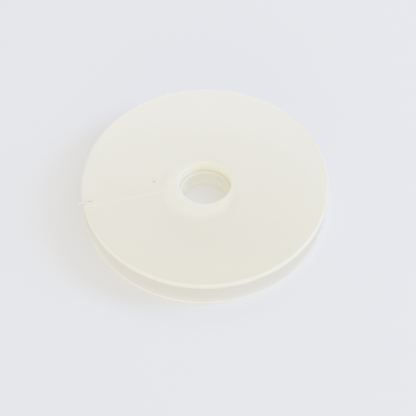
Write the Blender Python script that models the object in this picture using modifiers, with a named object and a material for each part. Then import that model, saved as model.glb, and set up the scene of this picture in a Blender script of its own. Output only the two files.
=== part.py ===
"""A small flat fishing line spool, moulded in two halves that press together at the hub.

The upper half is a disc with a socket hub below it. The lower half is a disc with a spigot that
stands up into the socket. A spindle goes through the bore of both. A thin winding of monofilament
sits on the hub between the discs. The line's start end runs out under the upper disc to a slit in
its rim, and the line's outer end comes off the winding and curls past the rim.

The spool's axis is Z, and z = 0 is the face that it lies on. All lengths are in metres.
"""

import math

import bmesh
import bpy
from mathutils import Vector

# Driving dimensions
FLANGE_DIAMETER = 0.060
FLANGE_THICKNESS = 0.0020
LINE_GAP = 0.0042  # between the two discs, where the line is wound
BORE_DIAMETER = 0.0126  # the socket, open at the top face
HUB_WALL = 0.0012
SPIGOT_WALL = 0.0005
SPIGOT_LENGTH = 0.0030  # above the lower disc
WINDING_DEPTH = 0.0012  # from the first layer of line to the last
LINE_DIAMETER = 0.0003

# Clearances
SPIGOT_CLEARANCE = 0.0001  # all round the spigot in its socket
SEAT_GAP = 0.0003  # between the hub's end and the lower disc
LINE_CLEARANCE = 0.0003  # between the line and what it lies against

# Edges
RIM_RADIUS = 0.0005
LIP_RADIUS = 0.0004
ROOT_RADIUS = 0.0002
EDGE_RADIUS = 0.00015

# The slit in the upper rim that holds the line's start end
SLIT_AZIMUTH = math.radians(191.0)
SLIT_WIDTH = 0.0005
SLIT_DEPTH = 0.0022
MOUTH_WIDTH = 0.0030
MOUTH_DEPTH = 0.0004

# Mesh fineness
TURN_SEGMENTS = 96
WINDING_SEGMENTS = 72
ARC_SEGMENTS = 3
LINE_POINT_SPACING = 0.0008

# Sizes that follow
FLANGE_RADIUS = FLANGE_DIAMETER / 2
BORE_RADIUS = BORE_DIAMETER / 2
HUB_RADIUS = BORE_RADIUS + HUB_WALL
SPIGOT_RADIUS = BORE_RADIUS - SPIGOT_CLEARANCE
SPIGOT_BORE_RADIUS = SPIGOT_RADIUS - SPIGOT_WALL
UPPER_FLANGE_BOTTOM = FLANGE_THICKNESS + LINE_GAP
SPOOL_HEIGHT = UPPER_FLANGE_BOTTOM + FLANGE_THICKNESS
WINDING_INNER_RADIUS = HUB_RADIUS + LINE_CLEARANCE
WINDING_RADIUS = WINDING_INNER_RADIUS + WINDING_DEPTH
LINE_UNDER_FLANGE = UPPER_FLANGE_BOTTOM - LINE_CLEARANCE - LINE_DIAMETER / 2


def clear_scene():
    for item in list(bpy.data.objects):
        bpy.data.objects.remove(item, do_unlink=True)


def new_collection(name):
    collection = bpy.data.collections.new(name)
    bpy.context.scene.collection.children.link(collection)
    return collection


def plastic(name, colour, roughness):
    """A Principled material for a moulded or drawn plastic."""
    material = bpy.data.materials.new(name)
    material.use_nodes = True
    shader = material.node_tree.nodes["Principled BSDF"]
    shader.inputs["Base Color"].default_value = (*colour, 1.0)
    shader.inputs["Roughness"].default_value = roughness
    shader.inputs["Metallic"].default_value = 0.0
    return material


def natural_polypropylene():
    return plastic("natural_polypropylene", (0.85, 0.83, 0.73), 0.35)


def clear_monofilament():
    return plastic("clear_monofilament", (0.88, 0.88, 0.84), 0.15)


def rounded_outline(corners):
    """The points of a closed outline whose corners, each (r, z, radius), are rounded by an arc."""
    points = []
    for index, (r, z, radius) in enumerate(corners):
        here = Vector((r, z))
        before = Vector(corners[index - 1][:2]) - here
        after = Vector(corners[(index + 1) % len(corners)][:2]) - here
        half_angle = before.angle(after) / 2
        centre = here + (before.normalized() + after.normalized()).normalized() * (
            radius / math.sin(half_angle)
        )
        start = here + before.normalized() * radius / math.tan(half_angle) - centre
        end = here + after.normalized() * radius / math.tan(half_angle) - centre
        for step in range(ARC_SEGMENTS + 1):
            spoke = start.lerp(end, step / ARC_SEGMENTS).normalized() * radius
            points.append(centre + spoke)
    return points


def turned(name, corners, segments, material, collection):
    """A ring-shaped solid: the outline of its section turned about Z by a Screw modifier."""
    outline = rounded_outline(corners)
    count = len(outline)
    edges = [(index, (index + 1) % count) for index in range(count)]
    mesh = bpy.data.meshes.new(name)
    mesh.from_pydata([(point.x, 0.0, point.y) for point in outline], edges, [])
    piece = bpy.data.objects.new(name, mesh)
    piece.data.materials.append(material)
    collection.objects.link(piece)
    screw = piece.modifiers.new("turn", "SCREW")
    screw.axis = "Z"
    screw.steps = segments
    screw.render_steps = segments
    screw.use_merge_vertices = True
    screw.merge_threshold = 0.00001
    screw.use_smooth_shade = True
    return piece


def flat_cutter(name, outline, bottom, top, azimuth, collection):
    """A hidden prism for a Boolean, from an outline with local X pointing out from the axis."""
    curve = bpy.data.curves.new(name, "CURVE")
    curve.dimensions = "2D"
    curve.fill_mode = "BOTH"
    curve.extrude = (top - bottom) / 2
    spline = curve.splines.new("POLY")
    spline.points.add(len(outline) - 1)
    for point, (x, y) in zip(spline.points, outline):
        point.co = (x, y, 0.0, 1.0)
    spline.use_cyclic_u = True
    guide = bpy.data.objects.new(name + "_outline", curve)
    guide.location.z = (top + bottom) / 2
    guide.rotation_euler.z = azimuth
    collection.objects.link(guide)
    bpy.context.view_layer.update()
    evaluated = guide.evaluated_get(bpy.context.evaluated_depsgraph_get())
    mesh = bpy.data.meshes.new_from_object(evaluated)
    cutter = bpy.data.objects.new(name, mesh)
    cutter.matrix_world = guide.matrix_world.copy()
    collection.objects.link(cutter)
    bpy.data.objects.remove(guide, do_unlink=True)
    form = bmesh.new()
    form.from_mesh(mesh)
    bmesh.ops.remove_doubles(form, verts=form.verts, dist=0.000001)
    bmesh.ops.recalc_face_normals(form, faces=form.faces)
    form.to_mesh(mesh)
    form.free()
    cutter.hide_render = True
    cutter.display_type = "WIRE"
    return cutter


def slit_outline():
    """A narrow slit with a round end, opening through a wide shallow mouth at the rim."""
    half = SLIT_WIDTH / 2
    end = FLANGE_RADIUS - SLIT_DEPTH + half
    outside = FLANGE_RADIUS + MOUTH_DEPTH
    round_end = []
    for step in range(7):
        angle = math.pi / 2 + math.pi * step / 6
        round_end.append((end + half * math.cos(angle), half * math.sin(angle)))
    mouth_side = [(FLANGE_RADIUS - MOUTH_DEPTH, -half), (outside, -MOUTH_WIDTH)]
    other_side = [(outside, MOUTH_WIDTH), (FLANGE_RADIUS - MOUTH_DEPTH, half)]
    return round_end + mouth_side + other_side


def upper_flange(material, collection, cutters):
    """The disc on top, with the socket hub that the line is wound on and the slit in its rim."""
    hub_end = FLANGE_THICKNESS + SEAT_GAP
    corners = [
        (BORE_RADIUS, SPOOL_HEIGHT, LIP_RADIUS),
        (FLANGE_RADIUS, SPOOL_HEIGHT, RIM_RADIUS),
        (FLANGE_RADIUS, UPPER_FLANGE_BOTTOM, RIM_RADIUS),
        (HUB_RADIUS, UPPER_FLANGE_BOTTOM, ROOT_RADIUS),
        (HUB_RADIUS, hub_end, EDGE_RADIUS),
        (BORE_RADIUS, hub_end, EDGE_RADIUS),
    ]
    piece = turned("upper_flange", corners, TURN_SEGMENTS, material, collection)
    bottom = UPPER_FLANGE_BOTTOM - FLANGE_THICKNESS / 2
    top = SPOOL_HEIGHT + FLANGE_THICKNESS / 2
    cut = piece.modifiers.new("slit", "BOOLEAN")
    cut.operation = "DIFFERENCE"
    cut.solver = "EXACT"
    cut.object = flat_cutter("slit_cutter", slit_outline(), bottom, top, SLIT_AZIMUTH, cutters)
    return piece


def lower_flange(material, collection):
    """The disc that the spool lies on, with the spigot that stands up into the socket hub."""
    spigot_end = FLANGE_THICKNESS + SPIGOT_LENGTH
    corners = [
        (SPIGOT_BORE_RADIUS, spigot_end, EDGE_RADIUS),
        (SPIGOT_RADIUS, spigot_end, EDGE_RADIUS),
        (SPIGOT_RADIUS, FLANGE_THICKNESS, EDGE_RADIUS),
        (FLANGE_RADIUS, FLANGE_THICKNESS, RIM_RADIUS),
        (FLANGE_RADIUS, 0.0, RIM_RADIUS),
        (SPIGOT_BORE_RADIUS, 0.0, LIP_RADIUS),
    ]
    return turned("lower_flange", corners, TURN_SEGMENTS, material, collection)


def line_winding(material, collection):
    """The outer shape of all the turns of line on the hub."""
    bottom = FLANGE_THICKNESS + LINE_CLEARANCE
    top = UPPER_FLANGE_BOTTOM - LINE_CLEARANCE
    corners = [
        (WINDING_INNER_RADIUS, top, LINE_DIAMETER / 2),
        (WINDING_RADIUS, top, LINE_DIAMETER),
        (WINDING_RADIUS, bottom, LINE_DIAMETER),
        (WINDING_INNER_RADIUS, bottom, LINE_DIAMETER / 2),
    ]
    return turned("line_winding", corners, WINDING_SEGMENTS, material, collection)


def across_flange(share):
    """The radius at a share of the way from the winding, at 0, to the rim, at 1."""
    return WINDING_RADIUS + share * (FLANGE_RADIUS - WINDING_RADIUS)


def start_end_route():
    """Out from the winding under the upper disc, up into the slit, and just past the rim."""
    return [
        (across_flange(0.02), 186.7, LINE_UNDER_FLANGE),
        (across_flange(0.22), 189.7, LINE_UNDER_FLANGE),
        (across_flange(0.42), 190.4, LINE_UNDER_FLANGE),
        (across_flange(0.64), 191.9, LINE_UNDER_FLANGE),
        (across_flange(0.84), 191.3, LINE_UNDER_FLANGE),
        (FLANGE_RADIUS - 0.80 * SLIT_DEPTH, 191.0, UPPER_FLANGE_BOTTOM - 0.00015),
        (FLANGE_RADIUS - 0.40 * SLIT_DEPTH, 191.0, UPPER_FLANGE_BOTTOM + 0.0005),
        (FLANGE_RADIUS, 191.0, UPPER_FLANGE_BOTTOM + 0.0009),
        (FLANGE_RADIUS + 0.0012, 190.3, UPPER_FLANGE_BOTTOM + 0.0011),
    ]


def outer_end_route():
    """Straight off the winding at mid height to the rim, then curling along it."""
    middle = FLANGE_THICKNESS + LINE_GAP / 2
    return [
        (across_flange(0.038), 101.8, middle),
        (across_flange(0.167), 129.8, middle),
        (across_flange(0.381), 145.6, middle + 0.0001),
        (across_flange(0.629), 154.4, middle + 0.0003),
        (across_flange(0.890), 159.9, middle + 0.0005),
        (FLANGE_RADIUS + 0.0003, 162.2, middle + 0.0006),
        (FLANGE_RADIUS + 0.0011, 165.3, middle + 0.0006),
        (FLANGE_RADIUS + 0.0013, 168.3, middle + 0.0005),
        (FLANGE_RADIUS + 0.0011, 170.8, middle + 0.0003),
    ]


def at(radius, azimuth_degrees, height):
    """The point at that radius from the spool's axis, azimuth and height."""
    azimuth = math.radians(azimuth_degrees)
    return Vector((radius * math.cos(azimuth), radius * math.sin(azimuth), height))


def smooth_points(route):
    """Points about LINE_POINT_SPACING apart on a Catmull-Rom curve through the route's points."""
    knots = [at(*place) for place in route]
    knots = [2 * knots[0] - knots[1], *knots, 2 * knots[-1] - knots[-2]]
    points = [knots[1]]
    for before, start, end, after in zip(knots, knots[1:], knots[2:], knots[3:]):
        steps = max(1, round((end - start).length / LINE_POINT_SPACING))
        for step in range(1, steps + 1):
            t = step / steps
            points.append(
                0.5
                * (
                    2 * start
                    + (end - before) * t
                    + (2 * before - 5 * start + 4 * end - after) * t**2
                    + (3 * start - before - 3 * end + after) * t**3
                )
            )
    return points


def line_tube(name, route, material, collection):
    """A stretch of line: a round tube with closed ends along the route."""
    points = smooth_points(route)
    curve = bpy.data.curves.new(name, "CURVE")
    curve.dimensions = "3D"
    curve.bevel_depth = LINE_DIAMETER / 2
    curve.bevel_resolution = 2
    curve.use_fill_caps = True
    spline = curve.splines.new("POLY")
    spline.points.add(len(points) - 1)
    for point, place in zip(spline.points, points):
        point.co = (*place, 1.0)
    curve.materials.append(material)
    piece = bpy.data.objects.new(name, curve)
    collection.objects.link(piece)
    return piece


def main():
    clear_scene()
    spool = new_collection("fishing_line_spool")
    cutters = new_collection("cutters")
    moulded = natural_polypropylene()
    drawn = clear_monofilament()
    lower_flange(moulded, spool)
    upper_flange(moulded, spool, cutters)
    line_winding(drawn, spool)
    line_tube("line_start_end", start_end_route(), drawn, spool)
    line_tube("line_outer_end", outer_end_route(), drawn, spool)


main()
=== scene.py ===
"""The finished look of a small flat fishing line spool.

Two halves moulded in uncoloured polypropylene press together at the hub, and one length of clear
monofilament is wound on the hub between them. Every length is in metres, in the frame of the
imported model: the spool's axis is Z, and z = 0 is the face that it lies on.
"""

import logging
import math
from dataclasses import dataclass
from enum import Enum
from typing import Any

import bpy
import numpy as np
from mathutils import Matrix, Vector


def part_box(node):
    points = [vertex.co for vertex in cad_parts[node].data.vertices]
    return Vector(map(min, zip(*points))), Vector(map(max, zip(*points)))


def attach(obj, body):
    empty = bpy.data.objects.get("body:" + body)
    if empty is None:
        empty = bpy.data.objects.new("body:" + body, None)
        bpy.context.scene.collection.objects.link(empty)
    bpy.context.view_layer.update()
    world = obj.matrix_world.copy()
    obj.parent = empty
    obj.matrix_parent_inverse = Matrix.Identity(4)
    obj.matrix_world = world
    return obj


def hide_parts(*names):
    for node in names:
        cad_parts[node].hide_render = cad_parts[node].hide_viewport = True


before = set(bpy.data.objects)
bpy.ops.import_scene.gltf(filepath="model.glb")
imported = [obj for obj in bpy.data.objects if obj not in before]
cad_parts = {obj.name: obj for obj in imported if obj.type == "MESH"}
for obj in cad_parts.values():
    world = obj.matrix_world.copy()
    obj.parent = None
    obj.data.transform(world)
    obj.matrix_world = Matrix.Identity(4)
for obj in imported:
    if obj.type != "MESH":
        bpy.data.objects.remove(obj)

Array = np.ndarray
Colour = tuple[float, float, float, float]

MM = 0.001
SHARP_EDGE = math.radians(35.0)

# Light crosses many walls of clear plastic before it comes out again.
CLEAR_BOUNCES = 32
GLOSSY_BOUNCES = 16
MATT_BOUNCES = 8

log = logging.getLogger("line_spool")


class Half(Enum):
    """The two mouldings, each with its CAD node and its body."""

    UPPER = ("upper_flange", "upper_half")
    LOWER = ("lower_flange", "lower_half")


def srgb(hex_code: str) -> Colour:
    """Turns an sRGB hex colour into the linear colour that a shader takes.

    Args:
        hex_code: Six hex digits, such as "E9E7DA".

    Returns:
        The linear red, green and blue, and an alpha of 1.
    """
    parts = [int(hex_code[at : at + 2], 16) / 255 for at in (0, 2, 4)]
    red, green, blue = (
        part / 12.92 if part <= 0.04045 else ((part + 0.055) / 1.055) ** 2.4 for part in parts
    )
    return (red, green, blue, 1.0)


def add_node(
    tree: bpy.types.NodeTree,
    kind: str,
    inputs: dict[str | int, Any] | None = None,
    **settings: Any,
) -> bpy.types.Node:
    """Adds a node with its settings, and sets or links its inputs.

    Args:
        tree: The node tree that the node joins.
        kind: The node's type, such as "ShaderNodeTexNoise".
        inputs: A value, or an output socket to link from, for each input name or number.
        **settings: The node's own properties, such as operation="ADD".

    Returns:
        The new node.
    """
    made = tree.nodes.new(kind)
    for name, value in settings.items():
        setattr(made, name, value)
    for socket, value in (inputs or {}).items():
        if isinstance(value, bpy.types.NodeSocket):
            tree.links.new(value, made.inputs[socket])
        else:
            made.inputs[socket].default_value = value
    return made


def new_material(name: str) -> tuple[bpy.types.Material, bpy.types.NodeTree, bpy.types.Node]:
    """A material with a Principled shader on its surface: the material, its tree and the shader."""
    material = bpy.data.materials.new(name)
    material.use_nodes = True
    return material, material.node_tree, material.node_tree.nodes["Principled BSDF"]


@dataclass(frozen=True)
class CloudAndGlow:
    """A round patch, or an outer ring, where the plastic is cloudier than on the open face.

    The clearness goes from that of the face at clear_at to frosted at frosted_glow_at, both of them
    distances from (x, y). The frosted colour is painted light: round the bore and on the rims it is
    partly cloudier plastic and partly painted glow, the patch beside the bore is a painted glow, and
    the wide patch on the upper left paints that part of the face lighter. The cause of the
    cloudiness isn't known: only its look is modelled.
    """

    clear_at: float
    frosted_glow_at: float
    amount: float = 1.0
    x: float = 0.0
    y: float = 0.0
    outer_skin_only: bool = False


@dataclass(frozen=True)
class StrandTrace:
    """A painted light trace of the line's start end: the strand's bright line as it shows through the
    upper disc, painted into the plastic.

    The milky plastic hides the strand itself, so the trace is put in the plastic. It is where
    the main camera sees the strand, and the strand is 1.2 mm further back. It is a straight
    band, square to normal, of the points whose product with normal is -offset.
    """

    normal: tuple[float, float, float] = (0.2385, -0.9711, 0.0)
    offset: float = -0.05 * MM
    half_width: float = 0.42 * MM
    core: float = 0.3
    amount: float = 0.6
    ends_at_x: float = -8.0 * MM


@dataclass(frozen=True)
class Fleck:
    """One dark speck in the upper face."""

    colour: str = "4A3520"
    place: tuple[float, float, float] = (-12.4 * MM, 0.4 * MM, 8.2 * MM)
    radius: float = 0.32 * MM
    softness: float = 0.3


@dataclass(frozen=True)
class NaturalPolypropylene:
    """Uncoloured injection-moulded polypropylene, 2 mm thick, from a satin tool.

    It gives the eye a milky body that light soaks into and comes out of again, faintly yellow
    where the path is long and almost white where light enters, with a soft shine on top.
    """

    name: str
    body: str
    clouded: str
    see_through: float = 0.7
    roughness: float = 0.25
    ior: float = 1.49
    soak: float = 2.0 * MM
    soak_by_colour: tuple[float, float, float] = (1.0, 0.93, 0.72)
    cloud_size: float = 14.0 * MM
    grain_size: float = 0.35 * MM
    grain_depth: float = 0.02 * MM
    grain_strength: float = 0.15
    # The frosted colour: partly cloudier plastic, partly painted glow.
    frosted_glow: str = "FFF9C8"
    frosted_see_through: float = 0.1
    middle_height: float = 4.1 * MM
    skin_starts: float = 2.5 * MM
    skin_full: float = 3.2 * MM
    fleck: Fleck = Fleck()
    strand: StrandTrace = StrandTrace()
    clouds_and_glows: tuple[CloudAndGlow, ...] = (
        # Round the bore: partly cloudier plastic, partly painted glow.
        CloudAndGlow(clear_at=6.9 * MM, frosted_glow_at=6.4 * MM),
        # The rim band: partly cloudier plastic, partly painted glow where light comes out of the rims.
        CloudAndGlow(clear_at=29.5 * MM, frosted_glow_at=29.95 * MM, outer_skin_only=True),
        # Lower left of the bore: painted glow.
        CloudAndGlow(x=-1.2 * MM, y=-2.2 * MM, clear_at=10.0 * MM, frosted_glow_at=6.8 * MM, amount=0.8),
        # Upper left of the face: painted light that makes it lighter.
        CloudAndGlow(x=-17.0 * MM, y=12.0 * MM, clear_at=15.0 * MM, frosted_glow_at=5.0 * MM, amount=0.35),
    )

    def outer_skin(self, tree: bpy.types.NodeTree, height: bpy.types.NodeSocket) -> bpy.types.Node:
        """Tells the outer part of each disc's rim from the part next to the gap.

        Args:
            tree: The material's node tree.
            height: The height above the face that the spool lies on.

        Returns:
            A node that gives 1 far from the spool's middle height, and 0 near it.
        """
        from_middle = add_node(
            tree, "ShaderNodeMath", {0: height, 1: self.middle_height}, operation="SUBTRACT"
        )
        either_way = add_node(tree, "ShaderNodeMath", {0: from_middle.outputs[0]}, operation="ABSOLUTE")
        return add_node(
            tree,
            "ShaderNodeMapRange",
            {
                "Value": either_way.outputs[0],
                "From Min": self.skin_starts,
                "From Max": self.skin_full,
            },
        )

    def cloud_and_glow_amount(
        self,
        tree: bpy.types.NodeTree,
        frost_glow_patch: CloudAndGlow,
        flat: bpy.types.NodeSocket,
        outer_skin: bpy.types.NodeSocket,
    ) -> bpy.types.NodeSocket:
        """How frosted one patch makes the plastic, which also sets how much painted glow it gets.

        Args:
            tree: The material's node tree.
            frost_glow_patch: The patch or ring.
            flat: The place on the object, at height 0.
            outer_skin: 1 on the outer part of each rim, and 0 next to the gap.

        Returns:
            The amount, from 0 to the patch's own.
        """
        reach = add_node(
            tree,
            "ShaderNodeVectorMath",
            {0: flat, 1: (frost_glow_patch.x, frost_glow_patch.y, 0.0)},
            operation="DISTANCE",
        )
        amount = add_node(
            tree,
            "ShaderNodeMapRange",
            {
                "Value": reach.outputs["Value"],
                "From Min": frost_glow_patch.clear_at,
                "From Max": frost_glow_patch.frosted_glow_at,
                "To Max": frost_glow_patch.amount,
            },
            interpolation_type="SMOOTHSTEP",
        )
        if frost_glow_patch.outer_skin_only:
            amount = add_node(
                tree, "ShaderNodeMath", {0: amount.outputs[0], 1: outer_skin}, operation="MULTIPLY"
            )
        return amount.outputs[0]

    def strand_amount(
        self, tree: bpy.types.NodeTree, place: bpy.types.NodeSocket, x: bpy.types.NodeSocket
    ) -> bpy.types.NodeSocket:
        """How frosted the strand's painted bright trace makes the plastic.

        Args:
            tree: The material's node tree.
            place: The place on the object.
            x: Its x.

        Returns:
            The amount, from 0 to the trace's own.
        """
        strand = self.strand
        aside = add_node(
            tree, "ShaderNodeVectorMath", {0: place, 1: strand.normal}, operation="DOT_PRODUCT"
        )
        off_line = add_node(
            tree, "ShaderNodeMath", {0: aside.outputs["Value"], 1: strand.offset}, operation="ADD"
        )
        distance = add_node(tree, "ShaderNodeMath", {0: off_line.outputs[0]}, operation="ABSOLUTE")
        band = add_node(
            tree,
            "ShaderNodeMapRange",
            {
                "Value": distance.outputs[0],
                "From Min": strand.half_width,
                "From Max": strand.half_width * strand.core,
                "To Max": strand.amount,
            },
        )
        on_left = add_node(tree, "ShaderNodeMath", {0: x, 1: strand.ends_at_x}, operation="LESS_THAN")
        trace = add_node(
            tree,
            "ShaderNodeMath",
            {0: band.outputs["Result"], 1: on_left.outputs[0]},
            operation="MULTIPLY",
        )
        return trace.outputs[0]

    def frost_and_glow(self, tree: bpy.types.NodeTree, place: bpy.types.NodeSocket) -> bpy.types.NodeSocket:
        """How frosted the plastic is, which also sets its painted glow: the strongest of its patches
        and the strand's trace.

        Args:
            tree: The material's node tree.
            place: The place on the object.

        Returns:
            The amount, from 0 on the clear open face to 1 on the rim and round the bore.
        """
        flat = add_node(
            tree, "ShaderNodeVectorMath", {0: place, 1: (1.0, 1.0, 0.0)}, operation="MULTIPLY"
        )
        parts = add_node(tree, "ShaderNodeSeparateXYZ", {"Vector": place})
        outer_skin = self.outer_skin(tree, parts.outputs["Z"]).outputs["Result"]
        amounts = [
            self.cloud_and_glow_amount(tree, frost_glow_patch, flat.outputs["Vector"], outer_skin)
            for frost_glow_patch in self.clouds_and_glows
        ]
        most = self.strand_amount(tree, place, parts.outputs["X"])
        for amount in amounts:
            stronger = add_node(tree, "ShaderNodeMath", {0: amount, 1: most}, operation="MAXIMUM")
            most = stronger.outputs[0]
        return most

    def colour(
        self,
        tree: bpy.types.NodeTree,
        place: bpy.types.NodeSocket,
        frost_and_glow: bpy.types.NodeSocket,
    ) -> bpy.types.NodeSocket:
        """The plastic's colour: faint clouds, yellower where it is frosted, which is partly painted
        glow, and one dark fleck.

        Args:
            tree: The material's node tree.
            place: The place on the object.
            frost_and_glow: How frosted the plastic is there, and how much painted glow it gets.

        Returns:
            The colour.
        """
        clouds = add_node(
            tree,
            "ShaderNodeTexNoise",
            {"Vector": place, "Scale": 1 / self.cloud_size, "Detail": 3.0, "Roughness": 0.45},
        )
        plain = add_node(
            tree,
            "ShaderNodeMix",
            {"Factor": clouds.outputs["Fac"], "A": srgb(self.body), "B": srgb(self.clouded)},
            data_type="RGBA",
        )
        # Mixes in the frosted colour: partly cloudier plastic, partly painted glow.
        frosted_glow = add_node(
            tree,
            "ShaderNodeMix",
            {"Factor": frost_and_glow, "A": plain.outputs["Result"], "B": srgb(self.frosted_glow)},
            data_type="RGBA",
        )
        to_fleck = add_node(
            tree, "ShaderNodeVectorMath", {0: place, 1: self.fleck.place}, operation="DISTANCE"
        )
        fleck = add_node(
            tree,
            "ShaderNodeMapRange",
            {
                "Value": to_fleck.outputs["Value"],
                "From Min": self.fleck.radius * (1 + self.fleck.softness),
                "From Max": self.fleck.radius * (1 - self.fleck.softness),
            },
        )
        flecked = add_node(
            tree,
            "ShaderNodeMix",
            {
                "Factor": fleck.outputs["Result"],
                "A": frosted_glow.outputs["Result"],
                "B": srgb(self.fleck.colour),
            },
            data_type="RGBA",
        )
        return flecked.outputs["Result"]

    def material(self) -> bpy.types.Material:
        """Builds the material.

        Returns:
            The satin translucent plastic.
        """
        material, tree, shader = new_material(self.name)
        place = add_node(tree, "ShaderNodeTexCoord").outputs["Object"]
        frost_and_glow = self.frost_and_glow(tree, place)
        tree.links.new(self.colour(tree, place, frost_and_glow), shader.inputs["Base Color"])
        grain = add_node(
            tree, "ShaderNodeTexNoise", {"Vector": place, "Scale": 1 / self.grain_size, "Detail": 2.0}
        )
        bump = add_node(
            tree,
            "ShaderNodeBump",
            {
                "Strength": self.grain_strength,
                "Distance": self.grain_depth,
                "Height": grain.outputs["Fac"],
            },
        )
        tree.links.new(bump.outputs["Normal"], shader.inputs["Normal"])
        clearness = add_node(
            tree,
            "ShaderNodeMapRange",
            {"Value": frost_and_glow, "To Min": self.see_through, "To Max": self.frosted_see_through},
        )
        tree.links.new(clearness.outputs["Result"], shader.inputs["Transmission Weight"])
        shader.inputs["Roughness"].default_value = self.roughness
        shader.inputs["IOR"].default_value = self.ior
        shader.inputs["Subsurface Weight"].default_value = 1.0
        shader.inputs["Subsurface Radius"].default_value = self.soak_by_colour
        shader.inputs["Subsurface Scale"].default_value = self.soak
        return material


# The two halves are one plastic. The lower one is paler here only because light in the gap
# between two yellow discs would look browner than it should.
UPPER_PLASTIC = NaturalPolypropylene(
    name="natural_polypropylene_upper", body="FBF9CE", clouded="F9F7C8"
)
LOWER_PLASTIC = NaturalPolypropylene(
    name="natural_polypropylene_lower",
    body="FEFDF4",
    clouded="FCFBEE",
    strand=StrandTrace(amount=0.0),
)


@dataclass(frozen=True)
class ClearMonofilament:
    """Drawn nylon monofilament, 0.3 mm thick.

    It gives the eye a fine bright line in soft light, and a whitish mass where turns lie close.
    """

    body: str = "FFFFFF"
    roughness: float = 0.06
    ior: float = 1.53
    see_through: float = 0.2
    mark_size: float = 0.8 * MM
    roughest: float = 0.15

    def material(self) -> bpy.types.Material:
        """Builds the material.

        Returns:
            The clear drawn nylon.
        """
        material, tree, shader = new_material("clear_monofilament")
        place = add_node(tree, "ShaderNodeTexCoord").outputs["Object"]
        draw_marks = add_node(
            tree, "ShaderNodeTexNoise", {"Vector": place, "Scale": 1 / self.mark_size, "Detail": 2.0}
        )
        roughness = add_node(
            tree,
            "ShaderNodeMapRange",
            {
                "Value": draw_marks.outputs["Fac"],
                "To Min": self.roughness,
                "To Max": self.roughest,
            },
        )
        tree.links.new(roughness.outputs["Result"], shader.inputs["Roughness"])
        shader.inputs["Base Color"].default_value = srgb(self.body)
        shader.inputs["IOR"].default_value = self.ior
        shader.inputs["Transmission Weight"].default_value = self.see_through
        return material


@dataclass(frozen=True)
class PaleSweep:
    """A sheet of smooth matt card, almost white with a cool cast."""

    face: str = "E3E6FC"
    fibre: str = "E1E4FA"
    fibre_scale: float = 60.0
    roughness: float = 0.75

    def material(self) -> bpy.types.Material:
        """Builds the material.

        Returns:
            The pale matt card.
        """
        material, tree, shader = new_material("pale_sweep")
        place = add_node(tree, "ShaderNodeTexCoord").outputs["Object"]
        fibre = add_node(
            tree,
            "ShaderNodeTexNoise",
            {"Vector": place, "Scale": self.fibre_scale, "Detail": 4.0},
        )
        colour = add_node(
            tree,
            "ShaderNodeMix",
            {"Factor": fibre.outputs["Fac"], "A": srgb(self.face), "B": srgb(self.fibre)},
            data_type="RGBA",
        )
        tree.links.new(colour.outputs["Result"], shader.inputs["Base Color"])
        shader.inputs["Roughness"].default_value = self.roughness
        return material


def rounded_outline(corners: Array, arc_steps: int) -> Array:
    """Rounds the corners of a closed outline.

    Each corner is replaced by points on the circle that touches both of its sides: the unit
    bisector of the two sides, times radius / sin(half the corner's angle), leads to its centre.

    Args:
        corners: One row for each corner: r, z and the radius of its arc.
        arc_steps: How many steps each arc takes.

    Returns:
        One row (r, z) for each point of the outline, in the corners' order.
    """
    here, radius = corners[:, :2], corners[:, 2:]
    before, after = np.roll(here, 1, 0) - here, np.roll(here, -1, 0) - here
    before /= np.linalg.norm(before, axis=1, keepdims=True)
    after /= np.linalg.norm(after, axis=1, keepdims=True)
    bisector = before + after
    bisector /= np.linalg.norm(bisector, axis=1, keepdims=True)
    cos_half = (before * bisector).sum(1, keepdims=True)
    sin_half = np.sqrt(1 - cos_half**2)
    centre = here + bisector * radius / sin_half
    start = here + before * radius * cos_half / sin_half - centre
    end = here + after * radius * cos_half / sin_half - centre
    share = np.linspace(0, 1, arc_steps + 1)[None, :, None]
    spoke = start[:, None] * (1 - share) + end[:, None] * share
    spoke *= radius[:, None] / np.linalg.norm(spoke, axis=2, keepdims=True)
    return (centre[:, None] + spoke).reshape(-1, 2)


def new_piece(name: str, points: Array, faces: Array, smooth: bool = True) -> bpy.types.Object:
    """Makes a mesh object at the origin, with its place in its mesh.

    Args:
        name: The piece's name.
        points: One row (x, y, z) for each vertex.
        faces: One row of four vertex numbers for each face.
        smooth: Whether its faces are shaded smooth up to SHARP_EDGE.

    Returns:
        The new object, linked into the scene.
    """
    mesh = bpy.data.meshes.new(name)
    mesh.from_pydata(points.reshape(-1, 3), [], faces.tolist())
    mesh.validate()
    if smooth:
        mesh.shade_smooth()
        mesh.set_sharp_from_angle(angle=SHARP_EDGE)
    piece = bpy.data.objects.new(name, mesh)
    bpy.context.scene.collection.objects.link(piece)
    return piece


def grid_faces(rows: int, columns: int, rows_close: bool) -> Array:
    """The faces of a grid of points whose columns close round on themselves.

    Args:
        rows: How many rows of points there are.
        columns: How many points each row has.
        rows_close: Whether the last row joins the first one too.

    Returns:
        One row of four vertex numbers for each face.
    """
    row = np.arange(rows if rows_close else rows - 1)[:, None]
    column = np.arange(columns)[None, :]
    next_row, next_column = (row + 1) % rows, (column + 1) % columns
    corners = [
        row * columns + column,
        row * columns + next_column,
        next_row * columns + next_column,
        next_row * columns + column,
    ]
    return np.stack([np.broadcast_to(c, (len(row), columns)) for c in corners], -1).reshape(-1, 4)


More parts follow.
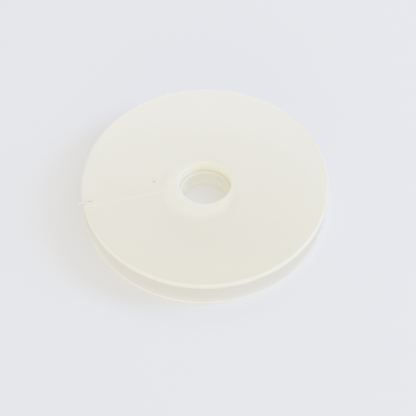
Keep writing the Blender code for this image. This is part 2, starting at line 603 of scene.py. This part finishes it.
@dataclass
class Moulding:
    """One half of the spool: a disc, and the socket or the spigot on it."""

    half: Half
    disc_thickness: float = 2.0 * MM
    bore_radius: float = 6.3 * MM
    hub_radius: float = 7.5 * MM
    spigot_radius: float = 6.2 * MM
    spigot_bore_radius: float = 5.7 * MM
    rim_radius: float = 0.5 * MM
    lip_radius: float = 0.4 * MM
    root_radius: float = 0.2 * MM
    edge_radius: float = 0.15 * MM
    slit_azimuth: float = math.radians(191.0)
    slit_width: float = 0.36 * MM
    slit_depth: float = 2.2 * MM
    mouth_half_width: float = 1.1 * MM
    mouth_depth: float = 0.4 * MM
    ring_spacing: float = 2.0 * MM
    slit_wall: float = 0.01 * MM
    arc_steps: int = 8
    columns: int = 540
    slit_columns: int = 12

    def __post_init__(self) -> None:
        """Takes the disc's radius and the half's two heights from its CAD node."""
        node, self.body = self.half.value
        low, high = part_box(node)
        self.node = node
        self.disc_radius: float = high.x
        self.bottom: float = low.z
        self.top: float = high.z

    def section(self) -> Array:
        """The half's section, counter-clockwise from the bore.

        Returns:
            One row (r, z) for each point of the closed outline.
        """
        if self.half is Half.UPPER:
            under = self.top - self.disc_thickness
            corners = [
                (self.bore_radius, self.top, self.lip_radius),
                (self.bore_radius, self.bottom, self.edge_radius),
                (self.hub_radius, self.bottom, self.edge_radius),
                (self.hub_radius, under, self.root_radius),
                (self.disc_radius, under, self.rim_radius),
                (self.disc_radius, self.top, self.rim_radius),
            ]
        else:
            over = self.bottom + self.disc_thickness
            corners = [
                (self.spigot_bore_radius, self.top, self.edge_radius),
                (self.spigot_bore_radius, self.bottom, self.lip_radius),
                (self.disc_radius, self.bottom, self.rim_radius),
                (self.disc_radius, over, self.rim_radius),
                (self.spigot_radius, over, self.edge_radius),
                (self.spigot_radius, self.top, self.edge_radius),
            ]
        return self.with_rings(rounded_outline(np.array(corners), self.arc_steps))

    def with_rings(self, outline: Array) -> Array:
        """Adds points along the outline's long straight runs, so that its faces stay small.

        A run longer than ring_spacing is cut into equal steps of at most that length.

        Args:
            outline: One row (r, z) for each point of the closed outline.

        Returns:
            The outline with the added points.
        """
        ends = np.roll(outline, -1, 0)
        pieces = []
        for start, end in zip(outline, ends):
            count = max(1, math.ceil(float(np.linalg.norm(end - start)) / self.ring_spacing))
            pieces.append(start + (end - start) * np.arange(count)[:, None] / count)
        return np.concatenate(pieces)

    def azimuths(self) -> Array:
        """The azimuth of each column: even all round, with a close set across the slit."""
        even = np.arange(self.columns) * 2 * math.pi / self.columns
        if self.half is Half.LOWER:
            return even
        half = self.slit_width / 2 / self.disc_radius
        wall = self.slit_wall / self.disc_radius
        across = np.concatenate(
            [[-half - wall], np.linspace(-half, half, self.slit_columns), [half + wall]]
        )
        away = np.abs((even - self.slit_azimuth + math.pi) % (2 * math.pi) - math.pi)
        return np.sort(np.concatenate([even[away > half + 3 * wall], self.slit_azimuth + across]))

    def cut_depth(self, azimuth: Array) -> Array:
        """How far the rim stands back at each azimuth.

        Inside the slit that is its depth less the round of its end, w - sqrt(w^2 - y^2) for a
        half width w and a distance y from its middle. In the mouth it is a cosine slope.

        Args:
            azimuth: The azimuths, in radians.

        Returns:
            The depth at each azimuth, in metres.
        """
        if self.half is Half.LOWER:
            return np.zeros_like(azimuth)
        y = np.abs((azimuth - self.slit_azimuth) * self.disc_radius)
        half = self.slit_width / 2
        slit = self.slit_depth - (half - np.sqrt(np.clip(half**2 - y**2, 0, None)))
        share = np.clip((y - half) / (self.mouth_half_width - half), 0, 1)
        mouth = self.mouth_depth * (1 + np.cos(math.pi * share)) / 2
        return np.where(y <= half * 1.0001, slit, mouth)

    def surface(self) -> tuple[Array, Array]:
        """The half's whole skin: its section turned about Z, with the rim set back at the slit.

        The point of the section (r, z) at azimuth a is (R cos a, R sin a, z), where R is r less
        the cut's depth for the points of the rim, and r for the rest.

        Returns:
            The points, and one row of four vertex numbers for each face.
        """
        section, azimuth = self.section(), self.azimuths()
        near_rim = self.disc_radius - self.rim_radius * 1.001
        on_rim = (section[:, 0] >= near_rim).astype(float)
        radius = section[:, :1] - on_rim[:, None] * self.cut_depth(azimuth)[None, :]
        points = np.stack(
            [
                radius * np.cos(azimuth),
                radius * np.sin(azimuth),
                np.broadcast_to(section[:, 1:], radius.shape),
            ],
            -1,
        )
        return points, grid_faces(*radius.shape, rows_close=True)[:, ::-1]

    def build(self, material: bpy.types.Material) -> bpy.types.Object:
        """Makes the piece, which stands for its CAD node and rides on its body.

        Args:
            material: The plastic that it is moulded in.

        Returns:
            The finished piece.
        """
        piece = new_piece(f"{self.half.name.lower()}_moulding", *self.surface())
        piece.data.materials.append(material)
        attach(piece, self.body)
        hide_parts(self.node)
        log.info("%s: %d faces", piece.name, len(piece.data.polygons))
        return piece


def polar(radius: float, azimuth_degrees: float, height: float) -> Array:
    """The point at that radius from the spool's axis, azimuth and height."""
    azimuth = math.radians(azimuth_degrees)
    return np.array([radius * math.cos(azimuth), radius * math.sin(azimuth), height])


def catmull_rom(knots: Array, steps: int) -> Array:
    """A smooth curve through every knot.

    Between two knots the point at t is half of 2b + (c - a) t + (2a - 5b + 4c - d) t^2 +
    (3b - a - 3c + d) t^3, where a to d are the knot before, the two knots and the knot after.

    Args:
        knots: One row (x, y, z) for each knot.
        steps: How many steps each stretch between two knots takes.

    Returns:
        One row (x, y, z) for each point of the curve.
    """
    padded = np.concatenate([[2 * knots[0] - knots[1]], knots, [2 * knots[-1] - knots[-2]]])
    a, b, c, d = (padded[at : len(padded) - 3 + at, None] for at in range(4))
    t = (np.arange(steps) / steps)[None, :, None]
    curve = 0.5 * (
        2 * b + (c - a) * t + (2 * a - 5 * b + 4 * c - d) * t**2 + (3 * b - a - 3 * c + d) * t**3
    )
    return np.concatenate([curve.reshape(-1, 3), knots[-1:]])


@dataclass
class WoundLine:
    """The one length of monofilament: its start end, its turns on the hub and its outer end."""

    diameter: float = 0.3 * MM
    hub_radius: float = 7.5 * MM
    under_disc: float = 5.75 * MM
    disc_underside: float = 6.2 * MM
    disc_radius: float = 30.0 * MM
    winding_radius: float = 9.0 * MM
    lowest_turn: float = 2.2 * MM
    highest_turn: float = 5.42 * MM
    layer_pitch: float = 0.3 * MM
    turns_per_layer: float = 10.0
    turns: float = 45.647
    first_azimuth: float = 205.0
    slit_depth: float = 2.2 * MM
    off_hub: float = 0.01 * MM
    waver: float = 0.012 * MM
    knots_per_turn: int = 36
    steps_per_knot: int = 3
    sides: int = 8
    tip_share: float = 0.001

    def across_disc(self, share: float) -> float:
        """The radius at a share of the way from the winding, at 0, to the rim, at 1."""
        return self.winding_radius + share * (self.disc_radius - self.winding_radius)

    def start_end(self) -> Array:
        """The route from the tip past the rim, down through the slit and in under the disc.

        In the slit it stands up to 0.6 mm higher than its CAD node, so that it fills the slit.

        Returns:
            One row (x, y, z) for each knot.
        """
        under, rim = self.under_disc, self.disc_radius
        places = [
            (rim + 1.2 * MM, 190.3, self.disc_underside + 1.2 * MM),
            (rim, 191.0, self.disc_underside + 1.65 * MM),
            (rim - 0.38 * self.slit_depth, 191.0, self.disc_underside + 1.7 * MM),
            (rim - 0.74 * self.slit_depth, 191.0, self.disc_underside + 1.2 * MM),
            (rim - 0.90 * self.slit_depth, 191.0, self.disc_underside + 0.2 * MM),
            (self.across_disc(0.84), 191.3, under),
            (self.across_disc(0.64), 191.9, under),
            (self.across_disc(0.42), 190.4, under),
            (self.across_disc(0.22), 189.7, under),
            (self.across_disc(0.02), 186.7, under),
            (8.6 * MM, 187.5, under),
            (7.95 * MM, 192.5, under - 0.06 * MM),
        ]
        return np.array([polar(*place) for place in places])

    def outer_end(self) -> Array:
        """The route off the winding to the rim, and the curl along it.

        Returns:
            One row (x, y, z) for each knot.
        """
        middle, rim = 4.1 * MM, self.disc_radius
        places = [
            (self.across_disc(0.038), 101.8, middle),
            (self.across_disc(0.167), 129.8, middle),
            (self.across_disc(0.381), 145.6, middle + 0.1 * MM),
            (self.across_disc(0.629), 154.4, middle + 0.3 * MM),
            (self.across_disc(0.890), 159.9, middle + 0.5 * MM),
            (rim + 0.3 * MM, 162.2, middle + 0.6 * MM),
            (rim + 1.1 * MM, 165.3, middle + 0.6 * MM),
            (rim + 1.3 * MM, 168.3, middle + 0.5 * MM),
            (rim + 1.1 * MM, 170.8, middle + 0.3 * MM),
        ]
        return np.array([polar(*place) for place in places])

    def winding(self) -> Array:
        """The turns on the hub, layer on layer.

        After t turns the azimuth is the first one plus 360 t. The height runs down one layer and
        up the next, a triangle wave of t, and the radius steps out by one pitch in the last
        quarter turn of each layer. A little of two slow waves keeps the turns from looking machined.

        Returns:
            One row (x, y, z) for each knot.
        """
        t = np.linspace(0, self.turns, round(self.turns * self.knots_per_turn) + 1)
        layer, within = np.divmod(t / self.turns_per_layer, 1.0)
        down = np.where(layer % 2 == 0, within, 1 - within)
        height = self.highest_turn - down * (self.highest_turn - self.lowest_turn)
        step = np.clip(1 - (1 - within) * self.turns_per_layer * 4, 0, 1)
        first = self.hub_radius + self.diameter / 2 + self.off_hub
        radius = first + (layer + step * step * (3 - 2 * step)) * self.layer_pitch
        azimuth = math.radians(self.first_azimuth) + 2 * math.pi * t
        height = height + self.waver * np.sin(1.7 * azimuth) * np.sin(0.23 * azimuth + 1.0)
        return np.stack([radius * np.cos(azimuth), radius * np.sin(azimuth), height], -1)

    def path(self) -> Array:
        """The line's whole centreline, from its start tip to its outer tip."""
        knots = np.concatenate([self.start_end(), self.winding(), self.outer_end()])
        return catmull_rom(knots, self.steps_per_knot)

    def tube(self, path: Array) -> tuple[Array, Array]:
        """A round tube along the path, with its ends drawn in to close them.

        Each ring stands square to the path. Its two axes are the spool's axis less its share
        along the path, and the cross product of that with the path's direction.

        Args:
            path: One row (x, y, z) for each point of the centreline.

        Returns:
            The points, and one row of four vertex numbers for each face.
        """
        along = np.gradient(path, axis=0)
        along /= np.linalg.norm(along, axis=1, keepdims=True)
        up = np.array([0.0, 0.0, 1.0]) - along * along[:, 2:]
        up /= np.linalg.norm(up, axis=1, keepdims=True)
        side = np.cross(along, up)
        centres = np.concatenate([path[:1], path, path[-1:]])
        up, side = (np.concatenate([v[:1], v, v[-1:]]) for v in (up, side))
        radius = np.full((len(centres), 1, 1), self.diameter / 2)
        radius[0] = radius[-1] = self.diameter / 2 * self.tip_share
        angle = np.arange(self.sides)[None, :, None] * 2 * math.pi / self.sides
        ring = up[:, None] * np.cos(angle) + side[:, None] * np.sin(angle)
        points = centres[:, None] + radius * ring
        return points, grid_faces(len(centres), self.sides, rows_close=False)

    def build(self, material: bpy.types.Material) -> bpy.types.Object:
        """Makes the line, which stands for its three CAD nodes and rides with the upper half.

        Args:
            material: The drawn nylon.

        Returns:
            The finished piece.
        """
        path = self.path()
        piece = new_piece("wound_line", *self.tube(path))
        piece.data.materials.append(material)
        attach(piece, "upper_half")
        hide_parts("line_winding", "line_start_end", "line_outer_end")
        return piece


@dataclass(frozen=True)
class SoftBox:
    """One large soft light, hung so that it faces the spool.

    The window light is the cool main one, on the right, and throws the shadow. The back light
    and the sheen light lie behind the spool, and the second one is mirrored in its face. The
    front light lifts its right side. The rim light and the left light are warm and low, and
    brighten the rims that face them.
    """

    name: str
    azimuth: float
    elevation: float
    width: float
    height: float
    watts: float
    colour: str
    distance: float = 1.0

    def hang(self) -> None:
        """Makes the light and links it into the scene."""
        data = bpy.data.lights.new(self.name, "AREA")
        data.shape = "RECTANGLE"
        data.size, data.size_y = self.width, self.height
        data.energy = self.watts
        data.color = srgb(self.colour)[:3]
        level = math.cos(self.elevation)
        aim = Vector(
            (
                math.cos(self.azimuth) * level,
                math.sin(self.azimuth) * level,
                math.sin(self.elevation),
            )
        )
        light = bpy.data.objects.new(self.name, data)
        light.location = aim * self.distance
        light.rotation_mode = "QUATERNION"
        light.rotation_quaternion = aim.to_track_quat("Z", "Y")
        bpy.context.scene.collection.objects.link(light)


WINDOW_LIGHT = SoftBox(
    name="window_light",
    azimuth=math.radians(2.0),
    elevation=math.radians(30.0),
    width=0.45,
    height=0.45,
    watts=41.0,
    colour="A8CAFF",
)
BACK_LIGHT = SoftBox(
    name="back_light",
    azimuth=math.radians(52.0),
    elevation=math.radians(42.0),
    width=0.30,
    height=0.30,
    watts=5.0,
    colour="F4F2FF",
)
SHEEN_LIGHT = SoftBox(
    name="sheen_light",
    azimuth=math.radians(94.0),
    elevation=math.radians(52.0),
    width=0.50,
    height=0.45,
    watts=4.2,
    colour="FAF8FF",
)
FRONT_LIGHT = SoftBox(
    name="front_light",
    azimuth=math.radians(-45.0),
    elevation=math.radians(50.0),
    width=0.45,
    height=0.45,
    watts=4.5,
    colour="E4ECFF",
)
RIM_LIGHT = SoftBox(
    name="rim_light",
    azimuth=math.radians(-92.0),
    elevation=math.radians(14.0),
    width=0.70,
    height=0.30,
    watts=19.0,
    colour="FFF3C8",
)
LEFT_LIGHT = SoftBox(
    name="left_light",
    azimuth=math.radians(188.0),
    elevation=math.radians(12.0),
    width=0.50,
    height=0.25,
    watts=3.0,
    colour="FFF3C8",
)


@dataclass
class Studio:
    """The floor, the soft light and the camera that the spool is seen with.

    Cool light comes from the right, and a warm pale room fills the rest.
    """

    elevation: float = math.radians(53.54)
    roll: float = math.radians(0.45)
    distance: float = 0.42
    lens: float = 149.93
    sensor: float = 36.0
    aim_right: float = 0.70 * MM
    aim_down: float = 6.19 * MM
    nearest: float = 0.01
    furthest: float = 50.0
    floor_side: float = 3.0
    room: str = "FFF3CE"
    room_strength: float = 2.5
    soft_boxes: tuple[SoftBox, ...] = (
        WINDOW_LIGHT,
        BACK_LIGHT,
        SHEEN_LIGHT,
        FRONT_LIGHT,
        RIM_LIGHT,
        LEFT_LIGHT,
    )

    def camera(self, top: Vector) -> None:
        """Places the camera, aimed a little to the right of and below the top face's centre.

        Args:
            top: The centre of the spool's top face.
        """
        sin_e, cos_e = math.sin(self.elevation), math.cos(self.elevation)
        right, up = Vector((1, 0, 0)), Vector((0, sin_e, cos_e))
        forward = Vector((0, cos_e, -sin_e))
        cos_r, sin_r = math.cos(self.roll), math.sin(self.roll)
        camera_right = right * cos_r - up * sin_r
        camera_up = right * sin_r + up * cos_r
        aim = top + camera_right * self.aim_right - camera_up * self.aim_down
        data = bpy.data.cameras.new("camera")
        data.sensor_width = self.sensor
        data.lens = self.lens
        data.clip_start, data.clip_end = self.nearest, self.furthest
        camera = bpy.data.objects.new("camera", data)
        turn = Matrix((camera_right, camera_up, -forward)).transposed()
        camera.matrix_world = Matrix.Translation(aim - forward * self.distance) @ turn.to_4x4()
        bpy.context.scene.collection.objects.link(camera)
        bpy.context.scene.camera = camera

    def floor(self) -> None:
        """Lays the pale floor under the spool."""
        half = self.floor_side / 2
        corners = np.array([(-half, -half, 0), (half, -half, 0), (half, half, 0), (-half, half, 0)])
        floor = new_piece("pale_floor", corners, np.array([[0, 1, 2, 3]]), smooth=False)
        floor.data.materials.append(PaleSweep().material())

    def light(self) -> None:
        """Hangs the soft boxes in a pale warm room."""
        world = bpy.data.worlds.new("pale_room")
        world.use_nodes = True
        room = world.node_tree.nodes["Background"]
        room.inputs["Color"].default_value = srgb(self.room)
        room.inputs["Strength"].default_value = self.room_strength
        bpy.context.scene.world = world
        for soft_box in self.soft_boxes:
            soft_box.hang()

    def build(self) -> None:
        """Sets the scene up."""
        scene = bpy.context.scene
        self.camera(Vector((0.0, 0.0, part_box("upper_flange")[1].z)))
        self.floor()
        self.light()
        scene.view_settings.view_transform = "AgX"
        scene.cycles.max_bounces = CLEAR_BOUNCES
        scene.cycles.transmission_bounces = CLEAR_BOUNCES
        scene.cycles.glossy_bounces = GLOSSY_BOUNCES
        scene.cycles.diffuse_bounces = MATT_BOUNCES
        log.info("camera, floor and lights are placed")


def main() -> None:
    """Builds the spool, piece by piece, and the scene around it."""
    logging.basicConfig(level=logging.INFO, format="%(name)s: %(message)s")
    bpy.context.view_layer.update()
    Studio().build()
    WoundLine().build(ClearMonofilament().material())
    Moulding(Half.LOWER).build(LOWER_PLASTIC.material())
    Moulding(Half.UPPER).build(UPPER_PLASTIC.material())


if __name__ == "__main__":
    main()
